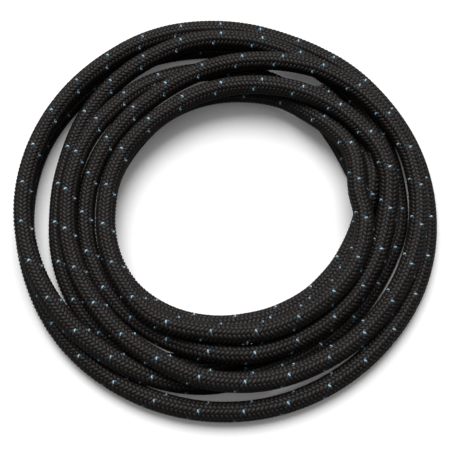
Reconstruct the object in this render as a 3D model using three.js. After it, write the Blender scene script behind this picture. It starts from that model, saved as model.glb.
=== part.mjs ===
// A loose coil of braided hose, lying flat on the floor.
// Millimetres, +Z up. The origin is on the coil's axis, on the floor.
import * as THREE from 'three';

// Driving dimensions
const hoseOuterDiameter = 14.3;
const eyeDiameter = 164;
const gapBetweenTurns = 2.4;
const turnsOnFloor = 4;

// Finish and fineness
const braidColour = 0x211f20;
const braidRoughness = 0.72;
const segmentsAroundCoil = 60;
const sidesOfSection = 12;

// Worked out from the driving dimensions. The turns of a layer lie a small gap apart, and a turn of
// the top layer rests in the valley between two turns on the floor.
const hoseRadius = hoseOuterDiameter / 2;
const turnPitch = hoseOuterDiameter + gapBetweenTurns;
const layerShift = turnPitch / 2;
const layerRise = Math.sqrt(hoseOuterDiameter ** 2 - layerShift ** 2);
const sideAngle = 360 / sidesOfSection;
const halfSide = sideAngle / 2;

// Centres of one layer's sections, from the eye outwards, as distance from the coil's axis and
// height over the floor. Each layer has one turn fewer than the layer below.
function layerCentres(layer) {
  const centres = [];
  for (let turn = 0; turn < turnsOnFloor - layer; turn += 1) {
    centres.push(new THREE.Vector2(
      eyeDiameter / 2 + hoseRadius + layer * layerShift + turn * turnPitch,
      hoseRadius + layer * layerRise,
    ));
  }
  return centres;
}

// Corners of one turn's section between two angles. Its sides touch the hose's true circle.
function sectionCorners(centre, fromAngle, toAngle) {
  const cornerRadius = hoseRadius / Math.cos(THREE.MathUtils.degToRad(halfSide));
  const corners = [];
  for (let angle = fromAngle; angle <= toAngle; angle += sideAngle) {
    const turned = THREE.MathUtils.degToRad(angle);
    corners.push(new THREE.Vector2(
      centre.x + cornerRadius * Math.cos(turned),
      centre.y + cornerRadius * Math.sin(turned),
    ));
  }
  return corners;
}

// The closed outline of the two layers. A groove ends where it gets as narrow as the gap.
function stackOutline() {
  const floorLayer = layerCentres(0);
  const topLayer = layerCentres(1);
  const outline = [];
  const show = (centre, fromAngle, toAngle) => {
    outline.push(...sectionCorners(centre, fromAngle, toAngle));
  };

  // Under the floor layer, from the eye outwards
  floorLayer.forEach((centre) => show(centre, 180 + halfSide, 360 - halfSide));
  // Up the outside
  show(floorLayer.at(-1), halfSide, 90 + halfSide);
  show(topLayer.at(-1), -halfSide, -halfSide);
  // Back over the top layer, towards the eye
  topLayer.reverse().forEach((centre) => show(centre, halfSide, 180 - halfSide));
  // Down the inside
  show(topLayer.at(-1), 180 + halfSide, 180 + halfSide);
  show(floorLayer[0], 90 - halfSide, 180 - halfSide);

  outline.push(outline[0].clone());
  return outline;
}

// The whole coil as one turned ring, its eye open and its turns showing on both faces.
function hoseCoil() {
  const geometry = new THREE.LatheGeometry(stackOutline(), segmentsAroundCoil);
  const material = new THREE.MeshStandardMaterial({
    color: braidColour,
    roughness: braidRoughness,
    metalness: 0,
  });
  const mesh = new THREE.Mesh(geometry, material);
  mesh.name = 'hose_coil';
  // The lathe turns about its own Y, which stands up as Z here.
  mesh.rotation.x = Math.PI / 2;
  return mesh;
}

const braidedHose = new THREE.Group();
braidedHose.add(hoseCoil());

export default braidedHose;
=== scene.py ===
"""A loose flat coil of braided hose on a studio floor: its route, braid, tracer and cut ends."""
import math

import bmesh
import bpy
import numpy as np
from bpy.props import FloatProperty, FloatVectorProperty, IntProperty, PointerProperty
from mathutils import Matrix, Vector


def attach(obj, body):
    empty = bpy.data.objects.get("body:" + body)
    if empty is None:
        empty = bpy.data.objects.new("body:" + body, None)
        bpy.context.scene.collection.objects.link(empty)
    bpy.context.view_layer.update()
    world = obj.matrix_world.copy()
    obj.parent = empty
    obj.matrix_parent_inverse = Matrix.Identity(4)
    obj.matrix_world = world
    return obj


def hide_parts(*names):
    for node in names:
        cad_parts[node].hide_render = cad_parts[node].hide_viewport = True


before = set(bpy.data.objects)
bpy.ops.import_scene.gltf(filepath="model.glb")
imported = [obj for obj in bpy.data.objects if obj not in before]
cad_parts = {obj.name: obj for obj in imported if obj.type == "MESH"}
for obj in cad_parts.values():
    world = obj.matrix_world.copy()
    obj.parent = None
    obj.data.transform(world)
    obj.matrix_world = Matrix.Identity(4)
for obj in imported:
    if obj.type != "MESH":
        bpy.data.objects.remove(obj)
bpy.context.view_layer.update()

bl_info = {
    "name": "Braided hose coil",
    "version": (1, 0, 0),
    "blender": (4, 5, 0),
    "location": "3D View > Sidebar > Hose",
    "description": "Builds a loose coil of braided hose and the studio floor that it lies on",
    "category": "Add Mesh",
}

CAD_NODE = "hose_coil"
ROUTE = "hose_route"

# Where the hose lies: its distance from the coil's axis in millimetres, at every LANE_STEP degrees
# anticlockwise seen from above. The first value is at FIRST_BEARING, and each row is one turn.
# The turns were read off the photo. A fit in another script made 88 of the values from those
# readings, and the rest were then set by hand.
FIRST_BEARING = 80
LANE_STEP = 20.0
LANES = (
    (134, 136, 140, 142, 143, 142, 141, 142, 142, 143, 143, 142, 141, 141, 141, 142, 142, 142),
    (144, 144, 143, 143, 142, 141, 139, 136, 130, 122, 115, 112, 113, 114, 118, 124, 130, 134),
    (133, 136, 132, 125, 119, 117, 120, 123, 124, 116, 108, 102, 99, 101, 105, 101, 100, 106),
    (113, 115, 117, 115, 113, 111, 112, 114, 119, 126, 128, 128, 130, 133, 135, 136, 132, 126),
    (117, 109, 102, 98, 96, 96, 98, 100, 102, 104, 106, 107, 107, 108, 109, 109, 106, 99),
    (94, 89, 84, 83, 83, 83, 86, 91, 98, 101, 103, 101, 102, 101, 101, 102, 100, 100),
    (96, 94, 92, 90, 90, 88, 88, 88, 86, 84, 83, 85, 89, 93, 99, 106, 110, 114),
)
# Which turn lies over which: pairs of turns counted from the first lane and place in the pile
PILE = ((0.0, 0.0), (5.6, 6.0), (5.75, 3.6), (6.85, 3.4))

MILLIMETRE = 0.001
ROUTE_SPACING_MM = 6.5
FLOATS_IN_RING = 10
SENSOR_WIDTH_MM = 36


class HoseSizes(bpy.types.PropertyGroup):
    """Sizes of the hose and its braid."""

    outer_diameter: FloatProperty(
        name="Outer diameter", description="Over the tops of the braid",
        default=0.0143, unit="LENGTH")
    bore: FloatProperty(
        name="Bore", description="Inside diameter of the rubber liner",
        default=0.0087, unit="LENGTH")
    length: FloatProperty(
        name="Length", description="Real length of the whole hose",
        default=5.0, unit="LENGTH")
    ring_pitch: FloatProperty(
        name="Ring pitch", description="From one ring of yarn floats to the next",
        default=0.00295, unit="LENGTH", precision=5)
    braid_angle: FloatProperty(
        name="Braid angle", description="Between a yarn and the hose's own line",
        default=math.radians(56.7), subtype="ANGLE")
    float_length: FloatProperty(
        name="Float length", description="Length of a yarn between two places where it dips under",
        default=0.0056, unit="LENGTH", precision=5)
    float_width: FloatProperty(
        name="Float width", description="Width of a flattened yarn",
        default=0.0024, unit="LENGTH", precision=5)
    yarn_height: FloatProperty(
        name="Yarn height", description="From the braid's dark valleys to the tops of its yarns",
        default=0.0009, unit="LENGTH", precision=5)
    # The core's dark colour is painted shade between the yarns.
    core_wall: FloatProperty(
        name="Core wall", description="Thickness of the dark tube under the braid",
        default=0.0008, unit="LENGTH", precision=5)
    ceiling: FloatProperty(
        name="Ceiling", description="Height over the floor that no turn stands above",
        default=0.036, unit="LENGTH")
    stretches: IntProperty(
        name="Stretches", description="Pieces that the braid is divided into along the hose",
        default=4, min=1)


class HoseColours(bpy.types.PropertyGroup):
    """Colours of the hose."""

    braid: FloatVectorProperty(
        name="Braid", description="Black nylon yarn",
        default=(0.0135, 0.0105, 0.0095), subtype="COLOR")
    valley: FloatVectorProperty(
        name="Valley", description="Shade deep between the yarns",
        default=(0.002, 0.002, 0.002), subtype="COLOR")
    # Pale blue middle of each tracer float: partly the yarn's own colour, partly a painted
    # highlight.
    tracer: FloatVectorProperty(
        name="Tracer", description="Pale blue tracer yarn",
        default=(0.50, 0.62, 0.67), subtype="COLOR")
    # Deep blue of the tracer yarn, darkened further as painted shade at the float's sides and
    # where it dips under.
    tracer_deep_blue_and_shade: FloatVectorProperty(
        name="Tracer edge", description="Deeper blue along the edges of the tracer yarn",
        default=(0.006, 0.03, 0.048), subtype="COLOR")
    liner: FloatVectorProperty(
        name="Liner", description="Black rubber tube inside the braid",
        default=(0.015, 0.015, 0.016), subtype="COLOR")


class StageSettings(bpy.types.PropertyGroup):
    """The studio floor, its light and the camera."""

    floor: FloatVectorProperty(
        name="Floor", description="Pale studio floor",
        default=(0.9, 0.9, 0.9), subtype="COLOR")
    bounce: FloatProperty(
        name="Floor bounce", description="Share of the floor's light that reaches the hose",
        default=0.3, subtype="FACTOR", min=0, max=1)
    lift: FloatProperty(
        name="Floor lift", description="Light from the floor that only the camera sees, so that "
        "shadows stay pale", default=0.07)
    key_strength: FloatProperty(
        name="Key light", description="Strength of the soft light behind the coil", default=2.9)
    key_softness: FloatProperty(
        name="Key softness", description="Angle that the key light's disc is wide",
        default=math.radians(44), subtype="ANGLE")
    key_turn: FloatVectorProperty(
        name="Key turn", description="Turn of the key light from shining straight down",
        default=(math.radians(-27), math.radians(-6), 0), subtype="EULER")
    sky_strength: FloatProperty(
        name="Overhead light", description="Strength of the wide light overhead", default=0.68)
    sky_towards: FloatVectorProperty(
        name="Overhead direction", description="Where the wide light overhead is brightest",
        default=(-0.05, 0.36, 0.93), subtype="DIRECTION")
    elevation: FloatProperty(
        name="Camera elevation", description="Above the horizon",
        default=math.radians(67), subtype="ANGLE")
    distance: FloatProperty(
        name="Camera distance", description="From the point that the camera looks at",
        default=0.85, unit="LENGTH")
    lens: FloatProperty(
        name="Lens", description="Focal length for the camera's 36 mm sensor", default=95.9,
        unit="CAMERA")
    aim: FloatVectorProperty(
        name="Aim", description="Point on the floor that the camera looks at",
        default=(-0.00075, -0.00615, 0.0), subtype="TRANSLATION")


# The hose's route

def lane_targets(spacing):
    """Points along the lanes, a spacing apart in millimetres, and their places in the pile."""
    lanes = np.array([lane for turn in LANES for lane in turn], float)
    bearings = FIRST_BEARING + LANE_STEP * np.arange(len(lanes))
    fine = np.arange(bearings[0], bearings[-1], 1.0)
    radius = np.interp(fine, bearings, lanes)
    half_window = 9
    window = np.hanning(2 * half_window + 1)
    radius = np.convolve(np.pad(radius, half_window, mode="edge"), window / window.sum(), "valid")
    angle = np.radians(fine)
    plan = np.column_stack([radius * np.cos(angle), radius * np.sin(angle)])
    turns = (fine - bearings[0]) / 360
    pile = np.interp(turns, *zip(*PILE))
    walked = np.concatenate([[0], np.cumsum(np.hypot(*np.diff(plan, axis=0).T))])
    stations = np.arange(0, walked[-1], spacing)
    plan = np.column_stack([np.interp(stations, walked, axis) for axis in plan.T])
    return plan, np.interp(stations, walked, pile)


def smoothed(values, passes, share):
    """Each value drawn towards the middle of its two neighbours, over and over. The ends stay."""
    values = values.copy()
    for _ in range(passes):
        values[1:-1] += share * (0.5 * (values[:-2] + values[2:]) - values[1:-1])
    return values


def neighbours(points, reach, skip):
    """Pairs of points within reach of each other and at least skip points apart on the hose."""
    apart = ((points[:, None] - points[None]) ** 2).sum(-1)
    return np.nonzero(np.triu(apart < reach * reach, skip))


def settled(plan, pile, diameter, ceiling):
    """The turns let down onto the floor and onto each other, pushed apart where they meet."""
    rounds, pushes_a_round = 900, 5
    # How far the turns sink in a round, in millimetres, and how firmly the plan holds them
    sink, hold, last_hold = 0.3, 0.3, 0.15
    # How often and how much the line is smoothed in a round
    passes, share_drawn = 4, 0.45
    # Millimetres from one place in the pile to the next at the start
    start_rise = 6.0
    # Points close to each other along the hose never push each other.
    search_every, reach, close_along_hose = 6, 1.5 * diameter, 8
    rounds_before_ceiling = 60
    # Keeps two points in one place from a division by zero
    least_gap = 1e-9

    radius = diameter / 2
    count = len(plan)
    points = np.column_stack([plan, radius + start_rise * pile])
    for step in range(rounds):
        left = 1 - step / rounds
        if step % search_every == 0:
            first, second = neighbours(points, reach, close_along_hose)
        points[:, 2] -= sink * min(1.0, 2.0 * left)
        points[:, :2] += hold * (last_hold + left) * (plan - points[:, :2])
        drift = points.copy()
        drift[:, :2] -= plan
        points = smoothed(drift, passes, share_drawn)
        points[:, :2] += plan
        for _ in range(pushes_a_round):
            between = points[first] - points[second]
            gap = np.sqrt((between ** 2).sum(1)) + least_gap
            overlap = np.maximum(diameter - gap, 0.0) / gap
            push = between * (0.5 * overlap)[:, None]
            touching = (overlap > 0).astype(float)
            contacts = (np.bincount(first, touching, count)
                        + np.bincount(second, touching, count))
            share = np.sqrt(np.maximum(contacts, 1.0))
            for axis in range(3):
                points[:, axis] += (np.bincount(first, push[:, axis], count)
                                    - np.bincount(second, push[:, axis], count)) / share
            highest = ceiling - radius if step > rounds_before_ceiling else np.inf
            points[:, 2] = np.clip(points[:, 2], radius, highest)
    return points


def distances(points):
    """How far along the hose each point lies."""
    return np.concatenate([[0], np.cumsum(np.linalg.norm(np.diff(points, axis=0), axis=1))])


def frames(points):
    """Tangent, side and up at each point, with no twist from one point to the next."""
    tangents = np.gradient(points, axis=0)
    tangents /= np.linalg.norm(tangents, axis=1)[:, None]
    sides = np.empty_like(points)
    side = np.cross(tangents[0], (0.0, 0.0, 1.0))
    for index, tangent in enumerate(tangents):
        side = side - tangent * (side @ tangent)
        side /= np.linalg.norm(side)
        sides[index] = side
    return tangents, sides, np.cross(tangents, sides)


def route_points():
    """The hose's centreline in metres, from the mesh that holds it."""
    mesh = bpy.data.meshes[ROUTE]
    points = np.empty(len(mesh.vertices) * 3)
    mesh.vertices.foreach_get("co", points)
    return points.reshape(-1, 3)


# Meshes

def swept_mesh(name, profile, sides):
    """A closed surface round the route, from pairs of distance along it and radius."""
    points = route_points()
    along = distances(points)
    tangents, across, up = frames(points)
    shape = bmesh.new()
    rings = []
    for distance, radius in profile:
        at = float(np.clip(distance, 0, along[-1]))
        centre, tangent, side, rise = (
            Vector([float(np.interp(at, along, axis)) for axis in values.T])
            for values in (points, tangents, across, up))
        centre += tangent * (distance - at)
        if radius == 0:
            rings.append([shape.verts.new(centre)])
            continue
        turns = [2 * math.pi * number / sides for number in range(sides)]
        rings.append([
            shape.verts.new(centre + radius * (math.cos(turn) * side + math.sin(turn) * rise))
            for turn in turns])
    for low, high in zip(rings, rings[1:]):
        for number in range(sides):
            after = (number + 1) % sides
            if len(low) == 1:
                corners = [low[0], high[after], high[number]]
            elif len(high) == 1:
                corners = [low[number], low[after], high[0]]
            else:
                corners = [low[number], low[after], high[after], high[number]]
            shape.faces.new(corners)
    bmesh.ops.recalc_face_normals(shape, faces=shape.faces)
    mesh = bpy.data.meshes.new(name)
    shape.to_mesh(mesh)
    shape.free()
    mesh.shade_smooth()
    return mesh


def ring_of_floats(sizes):
    """One ring of the braid: domed yarn floats that lean left and right in turn.

    A float's rows run from one end to the other and its columns from side to side, as shares of
    half its length and width. The dips are shares of the yarn's height.
    """
    rows, columns = (-1, -0.8, 0, 0.8, 1), (-1, -0.42, 0.42, 1)
    dip_at_ends, dip_at_sides, deepest = 0.9, 0.8, 1.1
    top = sizes.outer_diameter / 2
    sin_angle, cos_angle = math.sin(sizes.braid_angle), math.cos(sizes.braid_angle)
    places, faces, numbers, spots = [], [], [], []
    for number in range(FLOATS_IN_RING):
        lean = -1 if number % 2 == 0 else 1
        turn = -2 * math.pi * number / FLOATS_IN_RING
        shift = 0.0 if lean < 0 else sizes.ring_pitch / 2
        start = len(places)
        for along in rows:
            for across in columns:
                run = along * sizes.float_length / 2
                aside = across * sizes.float_width / 2
                round_hose = lean * run * sin_angle + aside * cos_angle
                down_hose = run * cos_angle - lean * aside * sin_angle
                dip = dip_at_ends * along ** 6 + dip_at_sides * across ** 2
                radius = top - sizes.yarn_height * min(dip, deepest)
                angle = turn + round_hose / top
                places.append((radius * math.cos(angle), radius * math.sin(angle),
                               down_hose + shift))
                spots.append(((along + 1) / 2, (across + 1) / 2))
        for row in range(len(rows) - 1):
            for column in range(len(columns) - 1):
                corner = start + row * len(columns) + column
                beyond = corner + len(columns)
                faces.append((corner, corner + 1, beyond + 1, beyond))
                numbers.append(number)
    mesh = bpy.data.meshes.new("float_ring")
    mesh.from_pydata(places, [], faces)
    yarn = mesh.uv_layers.new(name="yarn")
    for loop in mesh.loops:
        yarn.data[loop.index].uv = spots[loop.vertex_index]
    mesh.attributes.new("float_number", "INT", "FACE").data.foreach_set("value", numbers)
    mesh.shade_smooth()
    return mesh


# Node trees

def socket(sockets, name):
    """The socket of that name that is in use."""
    return next(each for each in sockets if each.name == name and each.enabled)


def add_node(tree, kind, settings=None, **inputs):
    """A node with its settings, and its inputs set to values or linked to other nodes' outputs."""
    node = tree.nodes.new(kind)
    for setting, value in (settings or {}).items():
        setattr(node, setting, value)
    for name, value in inputs.items():
        target = socket(node.inputs, name.replace("_", " "))
        if isinstance(value, bpy.types.NodeSocket):
            tree.links.new(value, target)
        else:
            target.default_value = value
    return node


def result_of(tree, kind, operation, *terms):
    """The first output of a node that works on terms, each a number or another node's output."""
    node = tree.nodes.new(kind)
    node.operation = operation
    for place, term in zip(node.inputs, terms):
        if isinstance(term, bpy.types.NodeSocket):
            tree.links.new(term, place)
        else:
            place.default_value = term
    return node.outputs[0]


def compared(tree, operation, first, second):
    """Whether two whole numbers compare in this way, as a node's output."""
    node = add_node(tree, "FunctionNodeCompare", {"data_type": "INT", "operation": operation},
                    A=first, B=second)
    return node.outputs[0]


def whole_number(tree, name):
    """A stored whole number, as a node's output."""
    node = add_node(tree, "GeometryNodeInputNamedAttribute", {"data_type": "INT"}, Name=name)
    return socket(node.outputs, "Attribute")


def new_group(name, kind, inputs, outputs):
    """A node group with its inputs and outputs, and its input and output nodes."""
    tree = bpy.data.node_groups.new(name, kind)
    for title, (socket_type, default) in inputs.items():
        made = tree.interface.new_socket(title, in_out="INPUT", socket_type=socket_type)
        if default is not None:
            made.default_value = default
    for title, socket_type in outputs.items():
        tree.interface.new_socket(title, in_out="OUTPUT", socket_type=socket_type)
    return tree, tree.nodes.new("NodeGroupInput"), tree.nodes.new("NodeGroupOutput")


def rings_on_route(tree, value):
    """Nodes that set the wanted rings along the route, each a little turned, as one mesh."""
    curve = add_node(tree, "GeometryNodeMeshToCurve", Mesh=value["Route"])
    spots = add_node(tree, "GeometryNodeCurveToPoints", {"mode": "COUNT"},
                     Curve=curve.outputs["Curve"], Count=value["Ring Count"])
    index = add_node(tree, "GeometryNodeInputIndex").outputs[0]
    numbered = add_node(tree, "GeometryNodeStoreNamedAttribute",
                        {"data_type": "INT", "domain": "POINT"},
                        Geometry=spots.outputs["Points"], Name="ring", Value=index)
    wanted = result_of(tree, "FunctionNodeBooleanMath", "AND",
                       compared(tree, "GREATER_EQUAL", index, value["First Ring"]),
                       compared(tree, "LESS_THAN", index, value["End Ring"]))
    unit = add_node(tree, "GeometryNodeObjectInfo", Object=value["Ring"])
    instances = add_node(tree, "GeometryNodeInstanceOnPoints",
                         Points=numbered.outputs["Geometry"], Selection=wanted,
                         Instance=unit.outputs["Geometry"], Rotation=spots.outputs["Rotation"])
    least = result_of(tree, "ShaderNodeMath", "MULTIPLY", value["Unevenness"], -1.0)
    wobble = add_node(tree, "FunctionNodeRandomValue", {"data_type": "FLOAT"},
                      Min=least, Max=value["Unevenness"], Seed=value["Seed"])
    turn = add_node(tree, "ShaderNodeCombineXYZ", Z=socket(wobble.outputs, "Value"))
    uneven = add_node(tree, "GeometryNodeRotateInstances",
                      Instances=instances.outputs["Instances"], Rotation=turn.outputs["Vector"])
    real = add_node(tree, "GeometryNodeRealizeInstances", Geometry=uneven.outputs[0])
    return real.outputs["Geometry"]


def is_tracer(tree, ring, number, rings_a_turn):
    """Nodes that tell the one tracer yarn's floats, which wind round the hose and lean one way."""
    place_in_turn = result_of(tree, "FunctionNodeIntegerMath", "MODULO", ring, rings_a_turn)
    side = result_of(tree, "FunctionNodeIntegerMath", "MODULO", number, 2)
    return result_of(tree, "FunctionNodeBooleanMath", "AND",
                     compared(tree, "EQUAL", place_in_turn, number),
                     compared(tree, "EQUAL", side, 0))


def braid_tree():
    """Geometry nodes that set rings of floats along a route and keep the black or tracer ones."""
    tree, given, result = new_group(
        "woven_braid", "GeometryNodeTree",
        {
            "Route": ("NodeSocketGeometry", None),
            "Ring": ("NodeSocketObject", None),
            "Ring Count": ("NodeSocketInt", 2000),
            "First Ring": ("NodeSocketInt", 0),
            "End Ring": ("NodeSocketInt", 2000),
            "Rings a Turn": ("NodeSocketInt", FLOATS_IN_RING),
            "Tracer": ("NodeSocketBool", False),
            "Unevenness": ("NodeSocketFloat", 0.03),
            "Seed": ("NodeSocketInt", 7),
            "Material": ("NodeSocketMaterial", None),
        },
        {"Braid": "NodeSocketGeometry"})
    value = given.outputs
    rings = rings_on_route(tree, value)
    ring, number = whole_number(tree, "ring"), whole_number(tree, "float_number")
    tracing = is_tracer(tree, ring, number, value["Rings a Turn"])
    wanted = result_of(tree, "FunctionNodeBooleanMath", "XNOR", tracing, value["Tracer"])
    kept = add_node(tree, "GeometryNodeSeparateGeometry", {"domain": "FACE"},
                    Geometry=rings, Selection=wanted)
    # More than the floats in a ring, so that no two floats share a number
    numbers_a_ring = 16
    first_number = result_of(tree, "FunctionNodeIntegerMath", "MULTIPLY", ring, numbers_a_ring)
    identity = result_of(tree, "FunctionNodeIntegerMath", "ADD", first_number, number)
    tone = add_node(tree, "FunctionNodeRandomValue", {"data_type": "FLOAT"},
                    ID=identity, Seed=value["Seed"])
    toned = add_node(tree, "GeometryNodeStoreNamedAttribute",
                     {"data_type": "FLOAT", "domain": "FACE"},
                     Geometry=kept.outputs["Selection"], Name="tone",
                     Value=socket(tone.outputs, "Value"))
    painted = add_node(tree, "GeometryNodeSetMaterial",
                       Geometry=toned.outputs["Geometry"], Material=value["Material"])
    tree.links.new(painted.outputs["Geometry"], result.inputs["Braid"])
    return tree


def woven_piece(name, tree, values):
    """A plain mesh object from the braid tree with these input values."""
    carrier = bpy.data.objects.new(name, bpy.data.meshes[ROUTE].copy())
    bpy.context.scene.collection.objects.link(carrier)
    modifier = carrier.modifiers.new("braid", "NODES")
    modifier.node_group = tree
    for item in tree.interface.items_tree:
        if item.in_out == "INPUT" and item.name in values:
            modifier[item.identifier] = values[item.name]
    depsgraph = bpy.context.evaluated_depsgraph_get()
    mesh = bpy.data.meshes.new_from_object(
        carrier.evaluated_get(depsgraph), preserve_all_data_layers=True, depsgraph=depsgraph)
    carrier.modifiers.remove(modifier)
    mesh.name = name
    carrier.data = mesh
    if not mesh.polygons:
        raise RuntimeError(f"{name} came out empty")
    return carrier


def yarn_group():
    """Shader nodes for a yarn of parallel filaments, shared by the braid and the tracer."""
    if "yarn_filaments" in bpy.data.node_groups:
        return bpy.data.node_groups["yarn_filaments"]
    tree, given, result = new_group(
        "yarn_filaments", "ShaderNodeTree",
        {
            "UV": ("NodeSocketVector", None),
            "Filaments": ("NodeSocketFloat", 5.0),
            "Twist": ("NodeSocketFloat", 0.0),
            "Falloff": ("NodeSocketFloat", 3.0),
        },
        {
            "Height": "NodeSocketFloat",
            "Ends": "NodeSocketFloat",
            "Edges": "NodeSocketFloat",
        })
    spot = add_node(tree, "ShaderNodeSeparateXYZ", Vector=given.outputs["UV"])

    def maths(operation, *terms):
        return result_of(tree, "ShaderNodeMath", operation, *terms)

    lead = maths("MULTIPLY", maths("SUBTRACT", spot.outputs["X"], 0.5), given.outputs["Twist"])
    across = maths("ADD", spot.outputs["Y"], lead)
    wave = maths("SINE", maths("MULTIPLY", across,
                               maths("MULTIPLY", given.outputs["Filaments"], 2 * math.pi)))
    tree.links.new(wave, result.inputs["Height"])
    # Masks that grow towards the float's ends and sides, where the yarn materials paint shade.
    for place, name in ((spot.outputs["X"], "Ends"), (across, "Edges")):
        from_middle = maths("ABSOLUTE", maths("SUBTRACT", maths("MULTIPLY", place, 2.0), 1.0))
        faded = maths("POWER", from_middle, given.outputs["Falloff"])
        tree.links.new(faded, result.inputs[name])
    return tree


def new_material(name, roughness):
    """A material with its own shader, and the tree that holds it."""
    material = bpy.data.materials.new(name)
    material.use_nodes = True
    shader = material.node_tree.nodes["Principled BSDF"]
    shader.inputs["Roughness"].default_value = roughness
    return material, material.node_tree, shader


def mixed(tree, factor, first, second):
    """The colour output of a mix of two colours."""
    node = add_node(tree, "ShaderNodeMix", {"data_type": "RGBA"},
                    Factor=factor, A=first, B=second)
    return socket(node.outputs, "Result")


def yarn_material(name, middle, edge, valley, gloss, filaments, twist, falloff):
    """Nylon yarn: filaments along it, its middle colour fading to painted shade at its edges and
    where it dips under.
    """
    material, tree, shader = new_material(name, roughness=0.42)
    shader.inputs["Specular IOR Level"].default_value = gloss
    spot = add_node(tree, "ShaderNodeUVMap", {"uv_map": "yarn"})
    yarn = add_node(tree, "ShaderNodeGroup", {"node_tree": yarn_group()},
                    UV=spot.outputs["UV"], Filaments=filaments, Twist=twist, Falloff=falloff)
    tone = add_node(tree, "ShaderNodeAttribute", {"attribute_name": "tone"})
    brightness = add_node(tree, "ShaderNodeMapRange", Value=tone.outputs["Fac"],
                          To_Min=0.72, To_Max=1.25)
    # Painted shade: the middle colour darkens towards the float's sides and towards its ends,
    # where it dips under.
    colour = mixed(tree, yarn.outputs["Edges"], (*middle, 1), (*edge, 1))
    colour = mixed(tree, yarn.outputs["Ends"], colour, (*valley, 1))
    scaled = add_node(tree, "ShaderNodeVectorMath", {"operation": "SCALE"})
    tree.links.new(colour, scaled.inputs[0])
    tree.links.new(brightness.outputs["Result"], scaled.inputs["Scale"])
    tree.links.new(scaled.outputs[0], shader.inputs["Base Color"])
    bump = add_node(tree, "ShaderNodeBump", Strength=0.35, Distance=0.0001,
                    Height=yarn.outputs["Height"])
    tree.links.new(bump.outputs["Normal"], shader.inputs["Normal"])
    return material


def speckled_material(name, colour, other, roughness, scale):
    """A plain finish with a fine mottle over it, on Object coordinates."""
    material, tree, shader = new_material(name, roughness)
    place = add_node(tree, "ShaderNodeTexCoord")
    mottle = add_node(tree, "ShaderNodeTexNoise", Vector=place.outputs["Object"],
                      Scale=scale, Detail=3.0)
    tree.links.new(mixed(tree, socket(mottle.outputs, "Fac"), (*colour, 1), (*other, 1)),
                   shader.inputs["Base Color"])
    bump = add_node(tree, "ShaderNodeBump", Strength=0.15, Distance=0.0001,
                    Height=socket(mottle.outputs, "Fac"))
    tree.links.new(bump.outputs["Normal"], shader.inputs["Normal"])
    return material


def floor_material(pale, bounce, lift):
    """The pale floor, which sends only part of its light back up at the hose's flanks."""
    material, tree, shader = new_material("studio_floor", roughness=0.9)
    shader.inputs["Specular IOR Level"].default_value = 0.1
    seen = add_node(tree, "ShaderNodeLightPath").outputs["Is Camera Ray"]
    dim = [shade * bounce for shade in pale]
    tree.links.new(mixed(tree, seen, (*dim, 1), (*pale, 1)), shader.inputs["Base Color"])
    glow = mixed(tree, seen, (0, 0, 0, 1), (lift, lift, lift, 1))
    tree.links.new(glow, shader.inputs["Emission Color"])
    shader.inputs["Emission Strength"].default_value = 1.0
    return material


def overhead_light(direction, strength):
    """A world that is bright high up behind the coil, like a large softbox, and dark low down.

    Its rim and middle are cosines of the angle from the direction in which it is brightest.
    """
    rim, middle, share_low_down = 0.3, 0.95, 0.02
    world = bpy.data.worlds.new("studio")
    world.use_nodes = True
    tree = world.node_tree
    place = add_node(tree, "ShaderNodeTexCoord")
    towards = add_node(tree, "ShaderNodeVectorMath", {"operation": "DOT_PRODUCT"})
    tree.links.new(place.outputs["Generated"], towards.inputs[0])
    towards.inputs[1].default_value = direction
    fade = add_node(tree, "ShaderNodeMapRange", {"interpolation_type": "SMOOTHSTEP"},
                    Value=towards.outputs["Value"], From_Min=rim, From_Max=middle,
                    To_Min=share_low_down * strength, To_Max=strength)
    sky = tree.nodes["Background"]
    sky.inputs["Color"].default_value = (1, 1, 1, 1)
    tree.links.new(fade.outputs["Result"], sky.inputs["Strength"])
    return world


def place_piece(name, mesh, material):
    """A mesh as an object in the scene, in its own material."""
    mesh.materials.clear()
    mesh.materials.append(material)
    piece = bpy.data.objects.new(name, mesh)
    bpy.context.scene.collection.objects.link(piece)
    return piece


# The pieces

class HOSE_OT_lay_route(bpy.types.Operator):
    """Work out where the hose lies: its turns let down on the floor and on each other"""

    bl_idname = "hose.lay_route"
    bl_label = "Lay the route"

    def execute(self, context):
        sizes = context.scene.hose_sizes
        plan, pile = lane_targets(ROUTE_SPACING_MM)
        points = settled(plan, pile, sizes.outer_diameter / MILLIMETRE,
                         sizes.ceiling / MILLIMETRE) * MILLIMETRE
        along = distances(points)
        if along[-1] < sizes.length:
            raise RuntimeError(f"the lanes are {along[-1]:.3f} m long, too short for the hose")
        count = round(sizes.length / (ROUTE_SPACING_MM * MILLIMETRE))
        stations = np.linspace(0, sizes.length, count)
        points = np.column_stack([np.interp(stations, along, axis) for axis in points.T])
        mesh = bpy.data.meshes.new(ROUTE)
        mesh.from_pydata(points.tolist(), [(n, n + 1) for n in range(len(points) - 1)], [])
        return {"FINISHED"}


class HOSE_OT_draw_core(bpy.types.Operator):
    """Draw the tube under the braid, painted dark as the shade between the yarns, hollow at its
    two ends
    """

    bl_idname = "hose.draw_core"
    bl_label = "Core"

    def execute(self, context):
        sizes, colours = context.scene.hose_sizes, context.scene.hose_colours
        outside = sizes.outer_diameter / 2 - sizes.yarn_height
        inside, depth = outside - sizes.core_wall, 0.018
        stations = np.linspace(0, sizes.length, len(route_points()))
        profile = [(depth, 0), (depth, inside), (0, inside)]
        profile += [(float(distance), outside) for distance in stations]
        profile += [(sizes.length, inside), (sizes.length - depth, inside),
                    (sizes.length - depth, 0)]
        # The core shows only in the gaps between the floats and is painted in the valley shade,
        # with a fine mottle.
        paler_shade = [2.5 * shade for shade in colours.valley]
        valley = speckled_material("braid_valley_shade", colours.valley, paler_shade,
                                   roughness=0.8, scale=900)
        place_piece("hose_core", swept_mesh("hose_core", profile, sides=16), valley)
        return {"FINISHED"}


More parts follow.
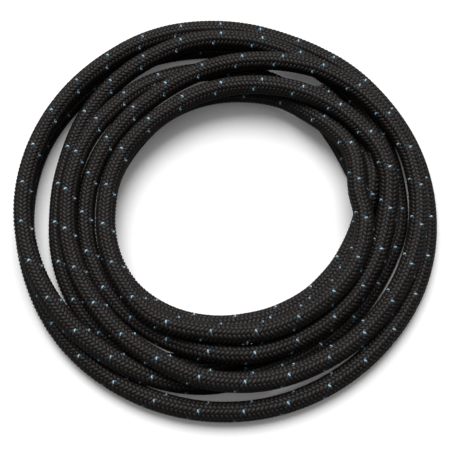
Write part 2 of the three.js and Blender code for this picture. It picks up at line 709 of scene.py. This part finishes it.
class HOSE_OT_weave_braid(bpy.types.Operator):
    """Weave the braid along the route, its black yarns in stretches and its tracer yarn in one"""

    bl_idname = "hose.weave_braid"
    bl_label = "Braid and tracer"

    def execute(self, context):
        sizes, colours = context.scene.hose_sizes, context.scene.hose_colours
        # The black yarn's sides and ends are painted in the valley shade.
        black = yarn_material("braid_yarn", colours.braid, colours.valley, colours.valley,
                              gloss=0.27, filaments=5.0, twist=0.0, falloff=5.0)
        # The tracer's pale middle, tilted by the twist, is partly a painted highlight; its sides
        # and ends fade to painted shade.
        blue = yarn_material("tracer_yarn", colours.tracer, colours.tracer_deep_blue_and_shade,
                             colours.tracer_deep_blue_and_shade, gloss=0.5, filaments=3.0, twist=3.6, falloff=1.2)
        unit = bpy.data.objects.new("float_ring", ring_of_floats(sizes))
        tree = braid_tree()
        rings = round(sizes.length / sizes.ring_pitch)
        shared = {"Ring": unit, "Ring Count": rings}
        cuts = [round(rings * cut / sizes.stretches) for cut in range(sizes.stretches + 1)]
        for number, (first, end) in enumerate(zip(cuts, cuts[1:]), 1):
            woven_piece(f"braid_stretch_{number}", tree,
                        {**shared, "First Ring": first, "End Ring": end, "Tracer": False,
                         "Material": black})
        woven_piece("tracer_yarn", tree,
                    {**shared, "First Ring": 0, "End Ring": rings, "Tracer": True,
                     "Material": blue})
        bpy.data.objects.remove(unit)
        return {"FINISHED"}


class HOSE_OT_cut_ends(bpy.types.Operator):
    """Finish the two cut ends with the rubber liner and its bore"""

    bl_idname = "hose.cut_ends"
    bl_label = "Cut ends"

    def execute(self, context):
        sizes, colours = context.scene.hose_sizes, context.scene.hose_colours
        clearance, proud, depth, end_wall = 0.0001, 0.0004, 0.016, 0.001
        outside = sizes.outer_diameter / 2 - sizes.yarn_height - sizes.core_wall - clearance
        bore = sizes.bore / 2
        # The cut end's two rims are rounded in two steps.
        slight, full = 0.0001, 0.0004
        profile = [
            (depth, 0), (depth, bore), (0.0, bore), (-0.7 * proud, bore + slight),
            (-proud, bore + full), (-proud, outside - full), (-0.7 * proud, outside - slight),
            (0.0, outside), (depth + end_wall, outside), (depth + end_wall, 0),
        ]
        rubber = speckled_material("liner_rubber", colours.liner, colours.valley,
                                   roughness=0.55, scale=700)
        place_piece("liner_start", swept_mesh("liner_start", profile, sides=24), rubber)
        other_way = [(sizes.length - distance, radius) for distance, radius in profile]
        place_piece("liner_far", swept_mesh("liner_far", other_way, sides=24), rubber)
        return {"FINISHED"}


class HOSE_OT_join_frame(bpy.types.Operator):
    """Tie the pieces to the root frame, in place of the ring in CAD, which is hidden"""

    bl_idname = "hose.join_frame"
    bl_label = "Tie to the frame"

    def execute(self, context):
        sizes = context.scene.hose_sizes
        slots = {"hose_core": "braid", "tracer_yarn": "tracer", "liner_start": "liner",
                 "liner_far": "liner"}
        slots.update({f"braid_stretch_{number + 1}": "braid" for number in range(sizes.stretches)})
        for name, slot in slots.items():
            piece = bpy.data.objects[name]
            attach(piece, "root")
        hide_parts(CAD_NODE)
        points = route_points()
        return {"FINISHED"}


class HOSE_OT_set_stage(bpy.types.Operator):
    """Set the pale floor, the soft light and the camera"""

    bl_idname = "hose.set_stage"
    bl_label = "Stage"

    def execute(self, context):
        settings = context.scene.hose_stage
        half = 3.0
        corners = [(-half, -half, 0), (half, -half, 0), (half, half, 0), (-half, half, 0)]
        floor = bpy.data.meshes.new("floor")
        floor.from_pydata(corners, [], [(0, 1, 2, 3)])
        pale = floor_material(settings.floor, settings.bounce, settings.lift)
        place_piece("floor", floor, pale)

        key = bpy.data.lights.new("key", "SUN")
        key.energy = settings.key_strength
        key.angle = settings.key_softness
        lamp = bpy.data.objects.new("key", key)
        lamp.rotation_euler = settings.key_turn
        context.scene.collection.objects.link(lamp)

        context.scene.world = overhead_light(settings.sky_towards, settings.sky_strength)
        context.scene.view_settings.view_transform = "Standard"

        lens = bpy.data.cameras.new("camera")
        lens.lens = settings.lens
        lens.sensor_width = SENSOR_WIDTH_MM
        lens.clip_end = 20
        camera = bpy.data.objects.new("camera", lens)
        back = Vector((0, -math.cos(settings.elevation), math.sin(settings.elevation)))
        camera.location = Vector(settings.aim) + settings.distance * back
        camera.rotation_euler = (math.pi / 2 - settings.elevation, 0, 0)
        context.scene.collection.objects.link(camera)
        context.scene.camera = camera
        return {"FINISHED"}


class HOSE_PT_panel(bpy.types.Panel):
    """Sizes, colours and the steps that build the hose."""

    bl_label = "Braided hose coil"
    bl_idname = "HOSE_PT_panel"
    bl_space_type = "VIEW_3D"
    bl_region_type = "UI"
    bl_category = "Hose"

    def draw(self, context):
        for group in (context.scene.hose_sizes, context.scene.hose_colours,
                      context.scene.hose_stage):
            box = self.layout.box()
            for name in group.__annotations__:
                box.prop(group, name)
        for step in STEPS:
            self.layout.operator(step.bl_idname)


STEPS = (HOSE_OT_lay_route, HOSE_OT_draw_core, HOSE_OT_weave_braid, HOSE_OT_cut_ends,
         HOSE_OT_join_frame, HOSE_OT_set_stage)
GROUPS = {"hose_sizes": HoseSizes, "hose_colours": HoseColours, "hose_stage": StageSettings}


def register():
    for kind in (*GROUPS.values(), *STEPS, HOSE_PT_panel):
        bpy.utils.register_class(kind)
    for name, kind in GROUPS.items():
        setattr(bpy.types.Scene, name, PointerProperty(type=kind))


def unregister():
    for name in GROUPS:
        delattr(bpy.types.Scene, name)
    for kind in (HOSE_PT_panel, *reversed(STEPS), *reversed(tuple(GROUPS.values()))):
        bpy.utils.unregister_class(kind)


def main():
    register()
    bpy.ops.hose.lay_route()
    bpy.ops.hose.draw_core()
    bpy.ops.hose.weave_braid()
    bpy.ops.hose.cut_ends()
    bpy.ops.hose.join_frame()
    bpy.ops.hose.set_stage()


if __name__ == "__main__":
    main()
